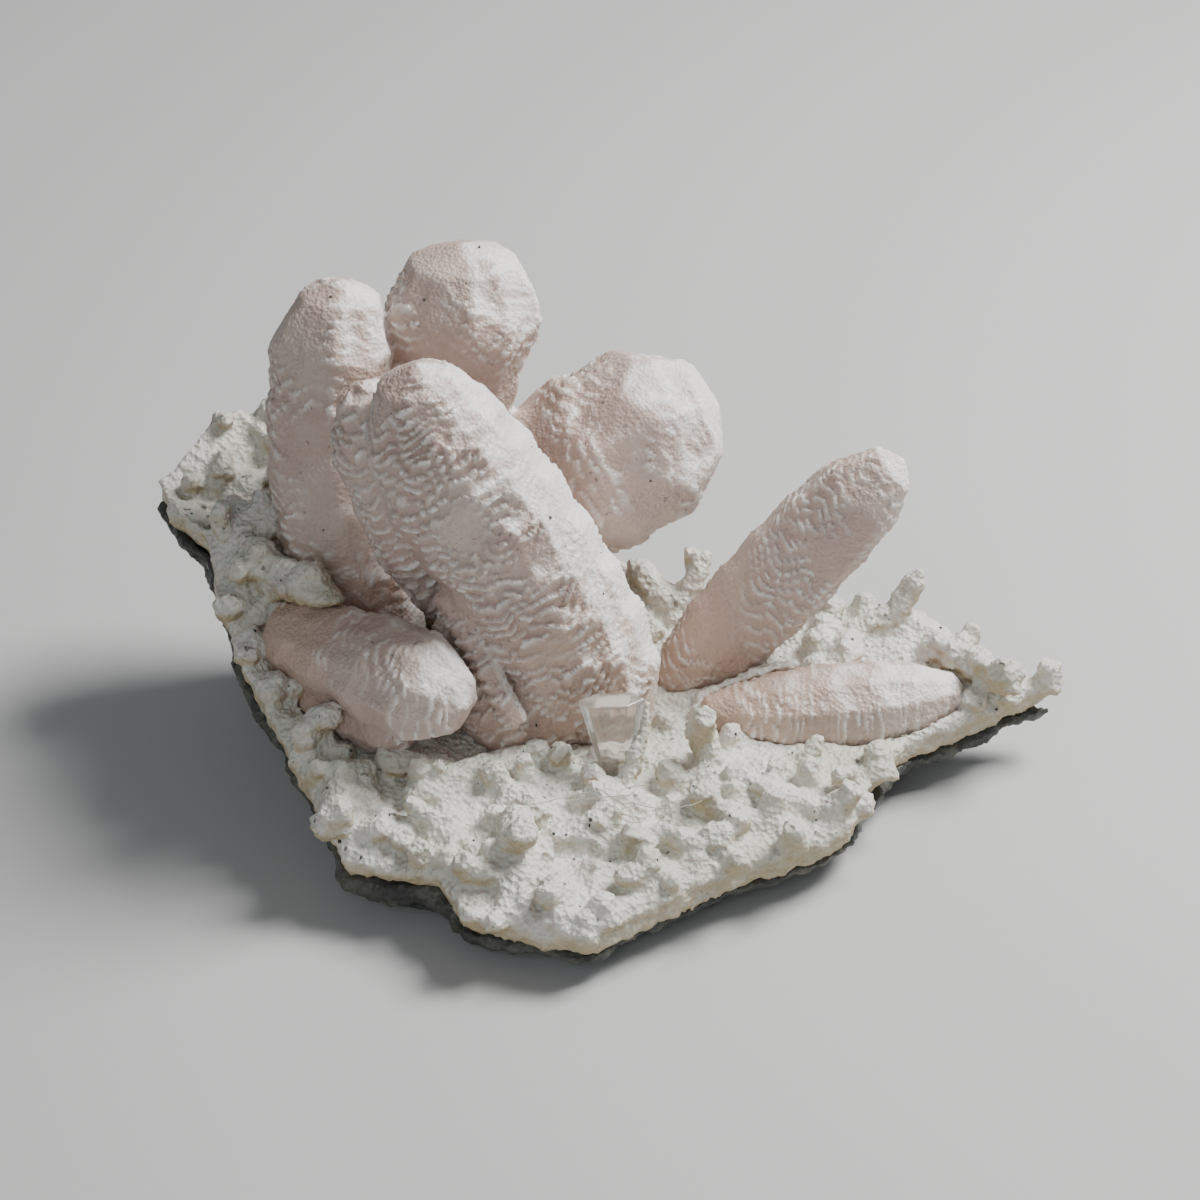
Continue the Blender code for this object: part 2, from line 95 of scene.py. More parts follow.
# %% [markdown]
# Soft daylight falls from the upper right and a little from behind, so the crystals' right edges glow and
# the left wall lies in shade. A sun lamp would give hard shadows, so large area lights are used, and a dim
# grey world fills the shadows.


# %% Lights
def area_light(name, place, aim, size, power, colour):
    """A square light at a place, turned towards a point."""
    data = bpy.data.lights.new(name, "AREA")
    data.size = size
    data.energy = power
    data.color = colour
    light = bpy.data.objects.new(name, data)
    light.location = place
    direction = [end - start for start, end in zip(place, aim)]
    flat = math.hypot(direction[0], direction[1])
    light.rotation_euler = (math.atan2(flat, -direction[2]), 0, math.atan2(-direction[0], direction[1]))
    bpy.context.scene.collection.objects.link(light)
    print(name, "gives", power, "W")


MIDDLE = (0, 0.015, 0.045)
SKY_GREY = (0.86, 0.9, 0.93, 1)
SKY_STRENGTH = 0.17
area_light("key", (0.42, 0.18, 0.62), MIDDLE, size=0.3, power=10.5, colour=(1.0, 0.99, 0.97))
area_light("front_fill", (-0.25, -0.8, 0.55), MIDDLE, size=0.6, power=2.0, colour=(0.94, 0.97, 1.0))
world = bpy.data.worlds.new("studio")
world.use_nodes = True
sky = world.node_tree.nodes["Background"]
sky.inputs["Color"].default_value = SKY_GREY
sky.inputs["Strength"].default_value = SKY_STRENGTH
bpy.context.scene.world = world

# %% [markdown]
# An operator acts on all that is selected, so each step first selects its own piece and nothing else. A
# modifier could stay live, but it is applied at once, because the next step reads the mesh that it makes.


# %% Work on one piece
def alone(piece):
    """Select one piece and nothing else."""
    bpy.ops.object.select_all(action="DESELECT")
    piece.select_set(True)
    bpy.context.view_layer.objects.active = piece


def finish_modifier(piece, modifier):
    """Apply a modifier to the piece's own mesh."""
    alone(piece)
    bpy.ops.object.modifier_apply(modifier=modifier.name)


# %% [markdown]
# The crust is crowded with stubby crystals a few millimetres long. Placing each by hand would take days, so
# short cones with cut tips are set on faces that look up, more of them on larger faces. They only overlap
# the crust at first: the net that is laid over everything later joins them to it.

# %% Nubs of the crust
NUB_SEED = SEED + 5
NUB_SIDES = 7
NUB_LENGTHS = (3.0 * MM, 6.5 * MM)
NUB_RADII = (1.7 * MM, 3.3 * MM)
NUB_TAPERS = (0.6, 0.9)
NUB_LEAN = 0.8
NUB_STAND_OUT = 0.3
STEEPEST = 0.55
SMALLEST_FACE = MM ** 2


def add_nubs(piece, count):
    """Set stubby little crystals on faces that look up."""
    chance = np.random.default_rng(NUB_SEED)
    faces = [face for face in piece.data.polygons if face.normal.z > STEEPEST and face.area > SMALLEST_FACE]
    areas = np.array([face.area for face in faces])
    shape = bmesh.new()
    shape.from_mesh(piece.data)
    for index in chance.choice(len(faces), count, p=areas / areas.sum()):
        corners = [piece.data.vertices[vertex].co for vertex in faces[index].vertices]
        shares = chance.dirichlet([1] * len(corners))
        foot = sum((corner * share for corner, share in zip(corners, shares)), Vector((0, 0, 0)))
        ahead = (faces[index].normal + Vector(chance.uniform(-NUB_LEAN, NUB_LEAN, 3))).normalized()
        length = chance.uniform(*NUB_LENGTHS)
        radius = chance.uniform(*NUB_RADII)
        tip_radius = radius * chance.uniform(*NUB_TAPERS)
        place = Matrix.Translation(foot + ahead * (length * NUB_STAND_OUT))
        turn = ahead.to_track_quat("Z", "Y").to_matrix().to_4x4()
        bmesh.ops.create_cone(
            shape, cap_ends=True, segments=NUB_SIDES, radius1=radius, radius2=tip_radius, depth=length,
            matrix=place @ turn,
        )
    shape.to_mesh(piece.data)
    shape.free()
    print(piece.name, "has", count, "nubs")


# %% [markdown]
# Every piece starts in the same way. The solid's loose triangles are copied and merged, a voxel remesh lays
# an even net over the shape, and a light smoothing rounds the facets. Subdividing would be quicker, but it
# keeps the solid's long thin faces, which don't take a fine pattern well.

# %% Finer copy of a solid
MERGE_DISTANCE = 0.01 * MM
SMOOTHING = 0.5


def finer_copy(node, name, voxel, rounds, nubs=0):
    """A copy of a solid, with nubs if any, an even net of faces and a number of smoothing rounds."""
    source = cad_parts[node]
    piece = bpy.data.objects.new(name, source.data.copy())
    bpy.context.scene.collection.objects.link(piece)
    alone(piece)
    bpy.ops.object.mode_set(mode="EDIT")
    bpy.ops.mesh.select_all(action="SELECT")
    bpy.ops.mesh.remove_doubles(threshold=MERGE_DISTANCE)
    bpy.ops.mesh.normals_make_consistent(inside=False)
    bpy.ops.object.mode_set(mode="OBJECT")
    if nubs:
        add_nubs(piece, nubs)
    net = piece.modifiers.new("Net", "REMESH")
    net.mode = "VOXEL"
    net.voxel_size = voxel
    finish_modifier(piece, net)
    soften = piece.modifiers.new("Soften", "SMOOTH")
    soften.factor = SMOOTHING
    soften.iterations = rounds
    finish_modifier(piece, soften)
    piece.data.materials.clear()
    bpy.ops.object.shade_smooth()
    print(name, "has a net of", round(voxel / MM, 2), "mm")
    return piece


# %% [markdown]
# Broken rock and sugary crust are rough all over. A cloud pattern pushes their surface in and out. Each
# piece then takes its solid's place, which is hidden, and rides with the object.


# %% Roughen and hand in
def roughen(piece, size, strength):
    """Push the surface in and out by a cloud pattern of a given size."""
    pattern = bpy.data.textures.new(piece.name + "_clouds", "CLOUDS")
    pattern.noise_scale = size
    push = piece.modifiers.new("Push", "DISPLACE")
    push.texture = pattern
    push.texture_coords = "LOCAL"
    push.mid_level = 0.5
    push.strength = strength
    finish_modifier(piece, push)


def hand_in(piece, node):
    """Put a piece in the place of its solid."""
    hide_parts(node)
    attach(piece, "root")
    print(piece.name, "has", sum(len(face.vertices) - 2 for face in piece.data.polygons), "triangles")


# %% [markdown]
# Some shapes follow a rule that no ready-made pattern has. For those, all points of a mesh are read at
# once, moved by a formula and written back. The waves are sums of sines in random directions, which are
# smooth and quick to work out. A number can also be kept for each point, for a material to read.

# %% Points and waves
WAVES = 7
WAVE_SPREAD = (0.7, 1.5)
WAVE_DIVISOR = 3.0
LARGEST_PHASE = 6


def points_and_normals(piece):
    """Places and normals of a mesh's points, a row each."""
    count = len(piece.data.vertices)
    points = np.empty(count * 3)
    normals = np.empty(count * 3)
    piece.data.vertices.foreach_get("co", points)
    piece.data.vertex_normals.foreach_get("vector", normals)
    return points.reshape(-1, 3), normals.reshape(-1, 3)


def move_points(piece, points):
    """Write a mesh's points back."""
    piece.data.vertices.foreach_set("co", points.ravel())
    piece.data.update()


def wobble(points, size, seed):
    """Soft waves between about -1 and 1 over the points, of a given size in metres."""
    source = np.random.default_rng(SEED + seed)
    total = np.zeros(len(points))
    for _ in range(WAVES):
        direction = source.normal(size=3)
        direction /= np.linalg.norm(direction)
        length = size * source.uniform(*WAVE_SPREAD)
        total += np.sin(points @ direction * math.tau / length + source.uniform(0, LARGEST_PHASE))
    return total / WAVE_DIVISOR


def step_up(values, low, high):
    """0 below low, 1 above high and a soft step between."""
    share = np.clip((values - low) / (high - low), 0, 1)
    return share * share * (3 - 2 * share)


def paint(piece, name, values):
    """Keep one number for each point, which a material can read."""
    layer = piece.data.attributes.new(name, "FLOAT", "POINT")
    layer.data.foreach_set("value", values.astype(np.float32))


# %% [markdown]
# Ledges run around a crystal, so each point needs its place along the crystal that it belongs to. A piece
# can hold several grown crystals: a point belongs to the one whose line from foot to tip is nearest.


# %% Place along a crystal
def place_along(points, axes):
    """Each point's distance from the foot of its nearest crystal, in metres and as a share of its length."""
    best = np.full(len(points), np.inf)
    along = np.zeros(len(points))
    share = np.zeros(len(points))
    for foot, tip in axes:
        foot = np.array(foot)
        run = np.array(tip) - foot
        length = np.linalg.norm(run)
        place = (points - foot) @ (run / length)
        nearest = foot + np.clip(place / length, 0, 1)[:, None] * run
        distance = np.linalg.norm(points - nearest, axis=1)
        closer = distance < best
        best[closer] = distance[closer]
        along[closer] = place[closer]
        share[closer] = place[closer] / length
    return along, share


# %% [markdown]
# The big crystals grew in thin plates, each a little wider than the next, so their sides are covered with
# shingle-like ledges. Rings at even steps would look turned on a lathe. Here soft waves bend the rows, and
# sudden breaks shift them, so that they part into scales.

# %% Rows of the ledges
WIDE_BEND = 0.34
WIDE_SIZE = 14 * MM
NARROW_BEND = 0.2
NARROW_SIZE = 5.5 * MM
BREAK_SHIFT = 0.41
BREAK_LEVELS = 2.2
BREAK_SIZE = 11 * MM
SCALE_STRETCH = np.array([1.0, 1.0, 0.4])


def ledge_rows(points, along, spacing, seed):
    """How far across its ledge each point is, from 0 to 1."""
    bend = WIDE_BEND * wobble(points, WIDE_SIZE, seed)
    bend += NARROW_BEND * wobble(points, NARROW_SIZE, seed + 1)
    breaks = BREAK_SHIFT * np.floor(BREAK_LEVELS * wobble(points * SCALE_STRETCH, BREAK_SIZE, seed + 6))
    return (along / spacing + bend + breaks) % 1.0


# %% [markdown]
# The edges of the ledges are white with frost. The side that faces the light is painted white as well, as
# painted light. The frost has no thickness worth modelling, so it is kept with the painted light as one
# number for each point, and the material makes it a colour.
# The feet of the crystals are warmer in tone, which is kept in the same way.

# %% Frost, painted light and warmth
EDGE_STEP = (0.55, 0.95)
FLECK_SIZE = 3.5 * MM
FLECK_STEP = (0.1, 0.6)
EDGE_FROST = 0.95
FROST_WITHOUT_FLECKS = 0.45
FROST_OF_FLECKS = 0.55
LIT_SIDE_PAINTED_LIGHT = 0.85
WARM_STEP = (0.1, 0.6)


def paint_crystal(piece, points, share, saw, patch, lit, seed):
    """Keep the frost, the painted light on the lit side and the warmth of each point."""
    edge = step_up(saw, *EDGE_STEP) * patch
    flecks = step_up(wobble(points, FLECK_SIZE, seed), *FLECK_STEP)
    cover = FROST_WITHOUT_FLECKS + FROST_OF_FLECKS * flecks
    # The lit side's share of this number is painted light, not frost.
    paint(piece, "frost_and_painted_light", np.clip(EDGE_FROST * edge * cover + LIT_SIDE_PAINTED_LIGHT * lit, 0, 1))
    paint(piece, "warm", 1 - step_up(share, *WARM_STEP))


# %% [markdown]
# The ledges could be painted or left to the material's bump, but they catch the light and show in the
# outline, so they are real steps: the rows give each point a saw-tooth height. They fade in some patches
# and on the lit side, which is smoother on the real crystals too, and small dimples keep the faces between
# them from looking polished.

# %% Ledges of the crystals
LIGHT_SIDE = np.array([0.72, 0.05, 0.62])
LIT_BLUR = 0.1
LIT_BLUR_SIZE = 6 * MM
LIT_STEP = (0.45, 0.9)
LIT_SMOOTHING = 0.65
PATCH_SIZE = 16 * MM
PATCH_STEP = (-0.7, 0.3)
SHARPNESS = 1.4
SINK = 0.3
DIMPLE_SIZE = 1.6 * MM
DIMPLE_HEIGHT = 0.07 * MM


def add_ledges(piece, axes, spacing, height, seed):
    """Cut shingle-like ledges around the crystals of a piece; axes are foot and tip points in metres."""
    points, normals = points_and_normals(piece)
    along, share = place_along(points, axes)
    saw = ledge_rows(points, along, spacing, seed)
    patch = step_up(wobble(points, PATCH_SIZE, seed + 2), *PATCH_STEP)
    lit = step_up(normals @ LIGHT_SIDE + LIT_BLUR * wobble(points, LIT_BLUR_SIZE, seed + 5), *LIT_STEP)
    rise = (saw ** SHARPNESS - SINK) * height * patch * (1 - LIT_SMOOTHING * lit)
    dimples = wobble(points, DIMPLE_SIZE, seed + 3) * DIMPLE_HEIGHT
    move_points(piece, points + normals * (rise + dimples)[:, None])
    paint_crystal(piece, points, share, saw, patch, lit, seed + 4)
    print(piece.name, "has ledges every", round(spacing / MM, 1), "mm")


# %% [markdown]
# The front crystal is a cigar 85 mm long that leans left. A second lobe grew along its left side, a short
# crystal at its foot, and a thin prism crosses it. They grew together, so they are one piece.

# %% Main crystal
MAIN_AXES = [
    ((-0.002, 0.019, 0.015), (-0.0325, 0.0145, 0.0955)),
    ((-0.024, 0.026, 0.034), (-0.0425, 0.024, 0.086)),
    ((-0.010, 0.012, 0.011), (-0.029, 0.015, 0.042)),
]
main_crystal = finer_copy("main_crystal", "main_crystal_skin", voxel=0.52 * MM, rounds=6)
add_ledges(main_crystal, MAIN_AXES, spacing=3.1 * MM, height=1.0 * MM, seed=20)
hand_in(main_crystal, "main_crystal")

# %% [markdown]
# Behind it stand two tall barrels joined along a crease and a stubby one that points right. Their ledges
# are wider apart and lower.

# %% Rear crystals
REAR_AXES = [
    ((-0.040, 0.031, 0.017), (-0.0475, 0.048, 0.093)),
    ((-0.033, 0.045, 0.019), (-0.0253, 0.055, 0.0965)),
    ((-0.026, 0.045, 0.036), (0.0224, 0.050, 0.0645)),
]
rear_crystals = finer_copy("rear_crystals", "rear_crystals_skin", voxel=0.6 * MM, rounds=8)
add_ledges(rear_crystals, REAR_AXES, spacing=3.8 * MM, height=0.6 * MM, seed=40)
hand_in(rear_crystals, "rear_crystals")

# %% [markdown]
# Two slender cigars lie to the right, one leaning and one on the crust, and a stub barrel grows from the
# left wall. They differ only in size and in their ledges, so a loop makes them from a short list: foot and
# tip, the net's size, the ledges' spacing and height in millimetres, and a seed.

# %% Slender crystals and left crystal
SINGLE_CRYSTALS = {
    "right_crystal": (((0.0145, 0.028, 0.011), (0.056, 0.033, 0.0636)), 0.42, 2.6, 0.4, 60),
    "lying_crystal": (((0.019, 0.015, 0.018), (0.069, 0.025, 0.0172)), 0.42, 2.4, 0.4, 70),
    "left_crystal": (((-0.0605, 0.021, 0.033), (-0.024, -0.006, 0.0354)), 0.45, 3.2, 0.5, 80),
}
single_pieces = []
for node, (axis, voxel, spacing, height, seed) in SINGLE_CRYSTALS.items():
    piece = finer_copy(node, node + "_skin", voxel * MM, rounds=6)
    add_ledges(piece, [axis], spacing * MM, height * MM, seed)
    hand_in(piece, node)
    single_pieces.append(piece)

# %% [markdown]
# A small glassy wedge stands at the foot of the main crystal. It could be shown as the bare solid, but
# perfectly sharp edges don't glint. It is clear, so it gets no ledges, and its edges are only softly
# rounded.

# %% Clear crystal
clear_crystal = finer_copy("clear_crystal", "clear_crystal_skin", voxel=0.35 * MM, rounds=3)
hand_in(clear_crystal, "clear_crystal")

# %% [markdown]
# The crust is a skin of tiny calcite points over the rock, with lumps and small fingers. Sculpting each
# point would be endless. Clouds of two sizes make the lumps and the sugar, and fine waves break them up.
# Faces that look sideways or down, and a pit between the big crystals, are noted. The broken rim is cream
# and brown-dusted there, while the undersides and the pit get the same tone as painted shade.

# %% Drusy crust
NUBS = 240
SUGAR_HEIGHT = 0.14 * MM
SUGAR_SIZE = 2.2 * MM
SUGAR_SEED = 90
SHADED_PIT = np.array([-0.038, 0.022])
SHADED_PIT_RADIUS = 0.011
UNDER_STEP = (-0.45, 0.35)
drusy_crust = finer_copy("drusy_crust", "drusy_crust_skin", voxel=0.72 * MM, rounds=1, nubs=NUBS)
roughen(drusy_crust, size=5 * MM, strength=1.3 * MM)
roughen(drusy_crust, size=1.7 * MM, strength=1.0 * MM)
points, normals = points_and_normals(drusy_crust)
sugar = SUGAR_HEIGHT * wobble(points, SUGAR_SIZE, SUGAR_SEED)
move_points(drusy_crust, points + normals * sugar[:, None])
# The pit and the undersides are darkened as painted shade; the broken rim's cream is its own colour.
pit_painted_shade = np.exp(-np.sum((points[:, :2] - SHADED_PIT) ** 2, axis=1) / SHADED_PIT_RADIUS ** 2)
paint(drusy_crust, "rim_cream_and_painted_shade", np.maximum(step_up(-normals[:, 2], *UNDER_STEP), pit_painted_shade))
hand_in(drusy_crust, "drusy_crust")

# %% [markdown]
# The basalt is broken and pitted. Clouds of two sizes make the breaks and pits, as they did on the crust,
# but deeper. The flat cut below stays flat because its points are put back on the plane, and no other point
# goes below it.

# %% Rock
CUT_HEIGHT = 0.4 * MM
basalt_matrix = finer_copy("basalt_matrix", "basalt_matrix_skin", voxel=1.0 * MM, rounds=2)
flat_points = points_and_normals(basalt_matrix)[0][:, 2] < CUT_HEIGHT
roughen(basalt_matrix, size=5 * MM, strength=2.6 * MM)
roughen(basalt_matrix, size=1.8 * MM, strength=1.2 * MM)
points = points_and_normals(basalt_matrix)[0]
points[flat_points, 2] = 0.0
points[:, 2] = np.maximum(points[:, 2], 0.0)
move_points(basalt_matrix, points)
hand_in(basalt_matrix, "basalt_matrix")

# %% [markdown]
# Small dark grains of dirt lie on the crust and the crystals. A particle system would scatter them, but
# particles aren't exported as meshes, so each grain is a little ball set on a point of a surface that faces
# up.

# %% Dirt grains
DIRT_COUNTS = [(drusy_crust, 110), (main_crystal, 18), (rear_crystals, 13)]
DIRT_RADII = (0.14 * MM, 0.38 * MM)
DIRT_SQUASH = (0.6, 1.3)
FACING_UP = 0.3
chance = np.random.default_rng(SEED)
dirt_shape = bmesh.new()
for ground, count in DIRT_COUNTS:
    points, normals = points_and_normals(ground)
    facing = np.flatnonzero(normals[:, 2] > FACING_UP)
    for index in chance.choice(facing, count, replace=False):
        place = Matrix.Translation(Vector(points[index]))
        squashed = Matrix.Diagonal((*chance.uniform(*DIRT_SQUASH, 3), 1))
        radius = chance.uniform(*DIRT_RADII)
        bmesh.ops.create_icosphere(dirt_shape, subdivisions=1, radius=radius, matrix=place @ squashed)
dirt_mesh = bpy.data.meshes.new("dirt_grains")
dirt_shape.to_mesh(dirt_mesh)
dirt_shape.free()
dirt_grains = bpy.data.objects.new("dirt_grains", dirt_mesh)
bpy.context.scene.collection.objects.link(dirt_grains)
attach(dirt_grains, "root")
print("grains of dirt:", sum(count for _, count in DIRT_COUNTS))

# %% [markdown]
# A few curly hairs lie in front of the clear crystal. They could be simulated, but they are so small that a
# thin curve that turns a little at every millimetre will do. The curve gets a round section and is made a
# mesh, as the other pieces are.

# %% Hairs
HAIRS = 7
HAIR_KNOTS = 14
HAIR_RADIUS = 0.09 * MM
HAIR_PLACE = Vector((0.003, -0.016, 0.0215))
HAIR_SPREAD = 5
HAIR_FLATNESS = (1, 1, 0.1)
HAIR_CURL = 0.45
HAIR_RISE = 0.12
HAIR_UNEVENNESS = 0.15
hair_curve = bpy.data.curves.new("hairs", "CURVE")
hair_curve.dimensions = "3D"
hair_curve.bevel_depth = HAIR_RADIUS
hair_curve.bevel_resolution = 1
hair_curve.use_fill_caps = True
for _ in range(HAIRS):
    line = hair_curve.splines.new("POLY")
    line.points.add(HAIR_KNOTS - 1)
    start = HAIR_PLACE + Vector(chance.uniform(-HAIR_SPREAD, HAIR_SPREAD, 3) * HAIR_FLATNESS) * MM
    heading = chance.uniform(0, math.tau)
    curl = chance.uniform(-HAIR_CURL, HAIR_CURL)
    for knot in line.points:
        knot.co = (*start, 1)
        step = Vector((math.cos(heading), math.sin(heading), chance.uniform(-HAIR_RISE, HAIR_RISE)))
        start = start + step * MM
        heading += curl + chance.uniform(-HAIR_UNEVENNESS, HAIR_UNEVENNESS)
hair_line = bpy.data.objects.new("hair_line", hair_curve)
bpy.context.scene.collection.objects.link(hair_line)
hair_mesh = bpy.data.meshes.new_from_object(hair_line.evaluated_get(bpy.context.evaluated_depsgraph_get()))
bpy.data.objects.remove(hair_line)
hairs = bpy.data.objects.new("hairs", hair_mesh)
bpy.context.scene.collection.objects.link(hairs)
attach(hairs, "root")
print("hairs:", HAIRS)

# %% [markdown]
# Patches of a second tone, fine grain and dark specks show on several finishes, so one node group mixes
# them into any colour. It gives out a colour, a height and a roughness, and each material keeps its own
# shader.

# %% Sockets of the grain group
COLOUR_SOCKET = "NodeSocketColor"
NUMBER_SOCKET = "NodeSocketFloat"
GROUP_SOCKETS = [
    ("Colour", "INPUT", COLOUR_SOCKET), ("Tint", "INPUT", COLOUR_SOCKET),
    ("Patch Scale", "INPUT", NUMBER_SOCKET), ("Grain Scale", "INPUT", NUMBER_SOCKET),
    ("Speck Amount", "INPUT", NUMBER_SOCKET), ("Colour", "OUTPUT", COLOUR_SOCKET),
    ("Height", "OUTPUT", NUMBER_SOCKET), ("Roughness", "OUTPUT", NUMBER_SOCKET),
]
grain = bpy.data.node_groups.new("mineral_grain", "ShaderNodeTree")
for name, side, kind in GROUP_SOCKETS:
    grain.interface.new_socket(name, in_out=side, socket_type=kind)
print("sockets of the group:", len(GROUP_SOCKETS))

# %% [markdown]
# Adding a node, placing it and setting its values would take a line each. Two small helpers keep the trees
# below readable: one adds a node with its input values, the other joins two sockets.


# %% Helpers for node trees
def node_of(tree, kind, place, settings=None, **values):
    """Add a node; settings are its own properties, and the other values go to its input sockets."""
    node = tree.nodes.new(kind)
    node.location = place
    for key, value in (settings or {}).items():
        setattr(node, key, value)
    for key, value in values.items():
        node.inputs[key.replace("_", " ")].default_value = value
    return node


def join(tree, source, output, target, place):
    """Link an output socket to an input socket."""
    tree.links.new(source.outputs[output], target.inputs[place])


# %% [markdown]
# The textures of the group all read Object coordinates, so the pattern stays on the stone when it is moved.
# Broad noise makes the patches, fine noise and small cells make the grain, and the peaks of a third noise
# make the specks. Pictures could be wrapped on instead, but they would stretch where the stone turns.

# %% Textures of the grain group
SPECK_SCALE = 520
inside = node_of(grain, "NodeGroupInput", (-900, 0))
outside = node_of(grain, "NodeGroupOutput", (900, 0))
where = node_of(grain, "ShaderNodeTexCoord", (-900, -300))
patches = node_of(grain, "ShaderNodeTexNoise", (-600, 200), Detail=4)
fine = node_of(grain, "ShaderNodeTexNoise", (-600, -100), Detail=3)
cells = node_of(grain, "ShaderNodeTexVoronoi", (-600, -400))
specks = node_of(grain, "ShaderNodeTexNoise", (-600, -700), Scale=SPECK_SCALE, Detail=1)
textures = [patches, fine, cells, specks]
for texture in textures:
    join(grain, where, "Object", texture, "Vector")
join(grain, inside, "Patch Scale", patches, "Scale")
join(grain, inside, "Grain Scale", fine, "Scale")
join(grain, inside, "Grain Scale", cells, "Scale")
print("textures of the group:", len(textures))

# %% [markdown]
# Real stone isn't one colour. Two mixes follow each other: the second tone goes in where the patches are
# strong, and dark brown goes in where the specks peak.

# %% Colour of the grain group
SPECK_BROWN = (0.05, 0.035, 0.025, 1)
patch_step = node_of(grain, "ShaderNodeMapRange", (-300, 200), From_Min=0.42, From_Max=0.68)
speck_step = node_of(grain, "ShaderNodeMapRange", (-300, -700), From_Min=0.72, From_Max=0.76)
speck_share = node_of(grain, "ShaderNodeMath", (0, -700), {"operation": "MULTIPLY"})
tinted = node_of(grain, "ShaderNodeMix", (0, 200), {"data_type": "RGBA"})
speckled = node_of(grain, "ShaderNodeMix", (300, 200), {"data_type": "RGBA"}, B=SPECK_BROWN)
join(grain, patches, "Fac", patch_step, "Value")
join(grain, patch_step, "Result", tinted, "Factor")
join(grain, inside, "Colour", tinted, "A")
join(grain, inside, "Tint", tinted, "B")
join(grain, specks, "Fac", speck_step, "Value")
join(grain, speck_step, "Result", speck_share, 0)
join(grain, inside, "Speck Amount", speck_share, 1)
join(grain, speck_share, "Value", speckled, "Factor")
join(grain, tinted, "Result", speckled, "A")
join(grain, speckled, "Result", outside, "Colour")
print("specks are", SPECK_BROWN[:3])

# %% [markdown]
# The fine noise and the cells add up to the height of the grain. The fine noise also makes the roughness
# uneven, so that small faces glint here and there.

# %% Height and roughness of the grain group
height_sum = node_of(grain, "ShaderNodeMath", (0, -200), {"operation": "ADD"})
gloss = node_of(grain, "ShaderNodeMapRange", (300, -300), To_Min=0.32, To_Max=0.62)
join(grain, fine, "Fac", height_sum, 0)
join(grain, cells, "Distance", height_sum, 1)
join(grain, fine, "Fac", gloss, "Value")
join(grain, height_sum, "Value", outside, "Height")
join(grain, gloss, "Result", outside, "Roughness")
print("the group has", len(grain.nodes), "nodes")

# %% [markdown]
# All the stone finishes are built alike: the group feeds colour, roughness and bump. Some pieces keep
# numbers for their points, such as where frost lies, and a second helper mixes a colour in by those
# numbers.

# %% Mineral materials
BUMP_DEPTH = 0.0006


def mineral(name, colour, tint, patch_scale, grain_scale, speck_amount, bump):
    """A material whose colour, roughness and bump come from the grain group."""
    material = bpy.data.materials.new(name)
    material.use_nodes = True
    tree = material.node_tree
    shader = tree.nodes["Principled BSDF"]
    group = node_of(
        tree, "ShaderNodeGroup", (-500, 0), {"node_tree": grain}, Colour=(*colour, 1), Tint=(*tint, 1),
        Patch_Scale=patch_scale, Grain_Scale=grain_scale, Speck_Amount=speck_amount,
    )
    relief = node_of(tree, "ShaderNodeBump", (-200, -300), Strength=bump, Distance=BUMP_DEPTH)
    join(tree, group, "Height", relief, "Height")
    join(tree, relief, "Normal", shader, "Normal")
    join(tree, group, "Roughness", shader, "Roughness")
    join(tree, group, "Colour", shader, "Base Color")
    print("material", name)
    return material


def blend_in(material, layer_name, colour, amount):
    """Mix a colour into what feeds Base Color, where the piece's own numbers say so."""
    tree = material.node_tree
    base = tree.nodes["Principled BSDF"].inputs["Base Color"]
    before = base.links[0].from_socket
    layer = node_of(tree, "ShaderNodeAttribute", (-500, 400), {"attribute_name": layer_name})
    share = node_of(tree, "ShaderNodeMath", (-300, 400), {"operation": "MULTIPLY"})
    share.inputs[1].default_value = amount
    mix = node_of(tree, "ShaderNodeMix", (-100, 300), {"data_type": "RGBA"}, B=(*colour, 1))
    join(tree, layer, "Fac", share, 0)
    join(tree, share, "Value", mix, "Factor")
    tree.links.new(before, mix.inputs["A"])
    tree.links.new(mix.outputs["Result"], base)


# %% [markdown]
# Calcite is a pale beige pink with white frost on its ledges and a warmer, peach tone near the foot. The side
# that faces the light gets the same white as painted light. Light goes a little way in, so the shader has
# some subsurface scattering, but the colours alone carry the look.

# %% Calcite
PINK = (0.55, 0.415, 0.36)
PALE_PINK = (0.63, 0.53, 0.47)
PEACH = (0.64, 0.43, 0.31)
FROST_AND_PAINTED_LIGHT_WHITE = (0.93, 0.91, 0.88)
calcite = mineral("calcite", PINK, PALE_PINK, patch_scale=60, grain_scale=1400, speck_amount=0.5, bump=0.45)
blend_in(calcite, "warm", PEACH, amount=0.45)
# This white is frost on the ledges and painted light on the side that faces the light.
blend_in(calcite, "frost_and_painted_light", FROST_AND_PAINTED_LIGHT_WHITE, amount=1.0)
calcite_shader = calcite.node_tree.nodes["Principled BSDF"]
calcite_shader.inputs["Subsurface Weight"].default_value = 0.3
calcite_shader.inputs["Subsurface Radius"].default_value = (1.0, 0.75, 0.6)
calcite_shader.inputs["Subsurface Scale"].default_value = 0.002
for piece in [main_crystal, rear_crystals, *single_pieces]:
    piece.data.materials.append(calcite)
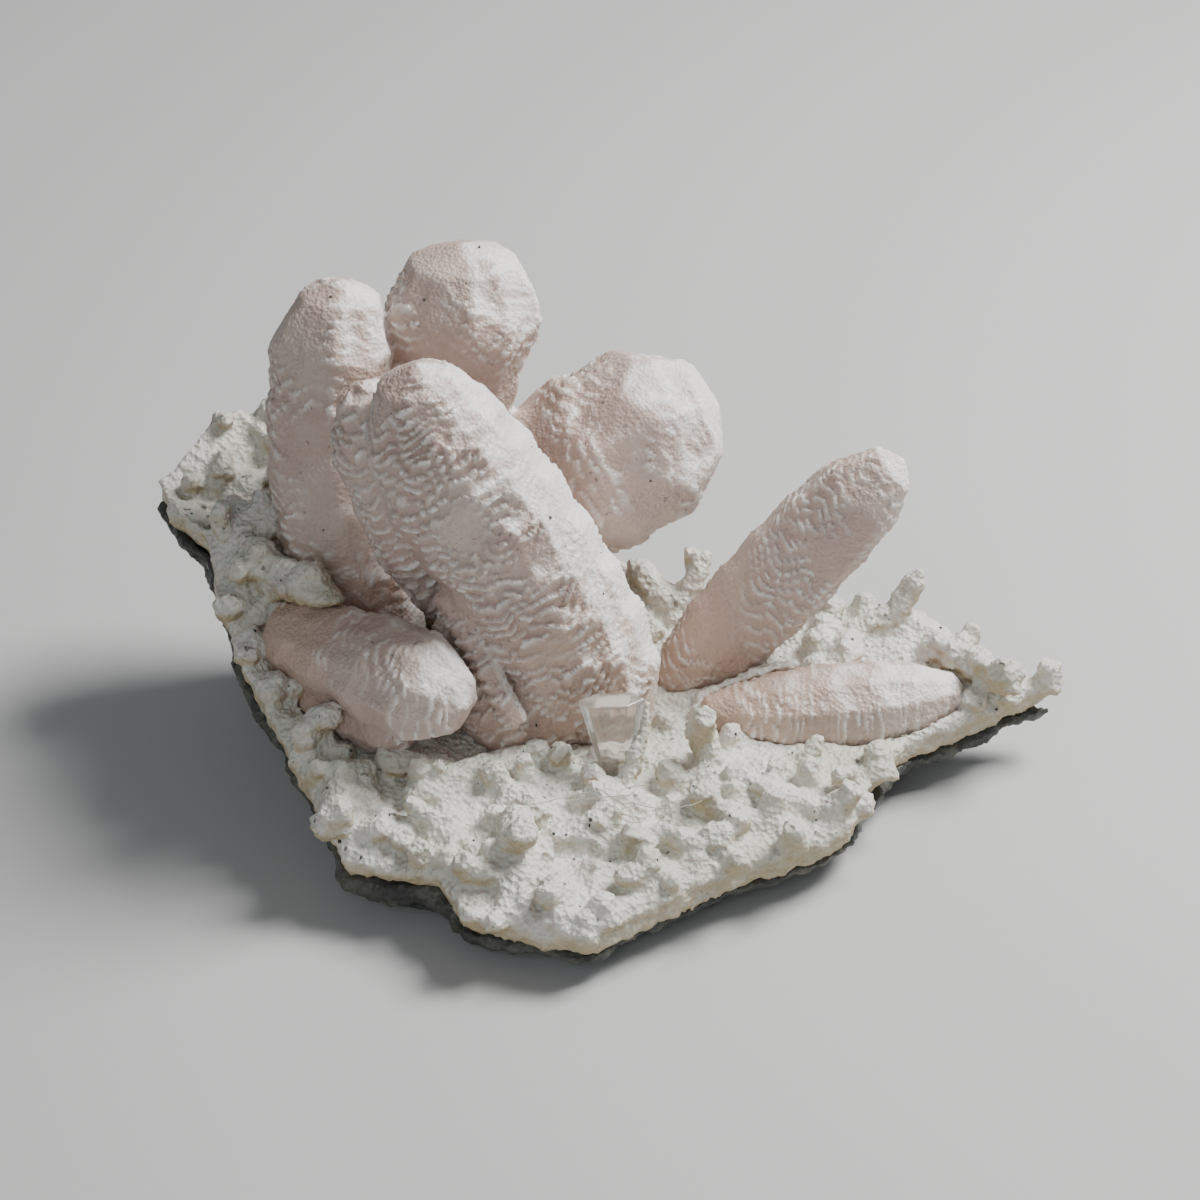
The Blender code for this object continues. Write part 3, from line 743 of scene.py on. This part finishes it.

# %% [markdown]
# The crust is white where light reaches it and cream and brown-dusted at the broken rim. The same cream
# brown is painted on its undersides and in the pit as painted shade. Those places were noted on its points
# when it was made, so no second material is needed for them.

# %% Crust
WHITE_CRUST = (0.76, 0.745, 0.69)
GREY_CRUST = (0.60, 0.59, 0.51)
CREAM_AND_PAINTED_SHADE = (0.50, 0.40, 0.23)
druse = mineral("druse", WHITE_CRUST, GREY_CRUST, patch_scale=45, grain_scale=900, speck_amount=0.7, bump=0.9)
# This cream brown is the rim's own colour, and painted shade on the undersides and in the pit.
blend_in(druse, "rim_cream_and_painted_shade", CREAM_AND_PAINTED_SHADE, amount=0.9)
druse_shader = druse.node_tree.nodes["Principled BSDF"]
druse_shader.inputs["Subsurface Weight"].default_value = 0.15
druse_shader.inputs["Subsurface Scale"].default_value = 0.002
drusy_crust.data.materials.append(druse)

# %% [markdown]
# Basalt is a dark greenish grey with lighter, dusty patches. The grains of dirt are bits of it, so they
# share its material. The hairs are a dull straw colour, from the same group with hardly any relief.

# %% Rock, dirt and hair
DARK_ROCK = (0.035, 0.038, 0.034)
DUSTY_ROCK = (0.12, 0.12, 0.10)
STRAW = (0.55, 0.52, 0.44)
DARK_STRAW = (0.42, 0.38, 0.30)
basalt = mineral(
    "basalt", DARK_ROCK, DUSTY_ROCK, patch_scale=160, grain_scale=700, speck_amount=0.5, bump=0.8,
)
for piece in [basalt_matrix, dirt_grains]:
    piece.data.materials.append(basalt)
fibre = mineral("fibre", STRAW, DARK_STRAW, patch_scale=300, grain_scale=900, speck_amount=0.0, bump=0.1)
hairs.data.materials.append(fibre)

# %% [markdown]
# The wedge is clear calcite. Plain transmission and the mineral's index of refraction make it see-through.

# %% Clear calcite
clear = bpy.data.materials.new("clear_calcite")
clear.use_nodes = True
clear_shader = clear.node_tree.nodes["Principled BSDF"]
clear_shader.inputs["Base Color"].default_value = (0.90, 0.87, 0.82, 1)
clear_shader.inputs["Roughness"].default_value = 0.12
clear_shader.inputs["IOR"].default_value = 1.55
clear_shader.inputs["Transmission Weight"].default_value = 0.85
clear_crystal.data.materials.append(clear)
print("clear calcite bends light by", round(clear_shader.inputs["IOR"].default_value, 2))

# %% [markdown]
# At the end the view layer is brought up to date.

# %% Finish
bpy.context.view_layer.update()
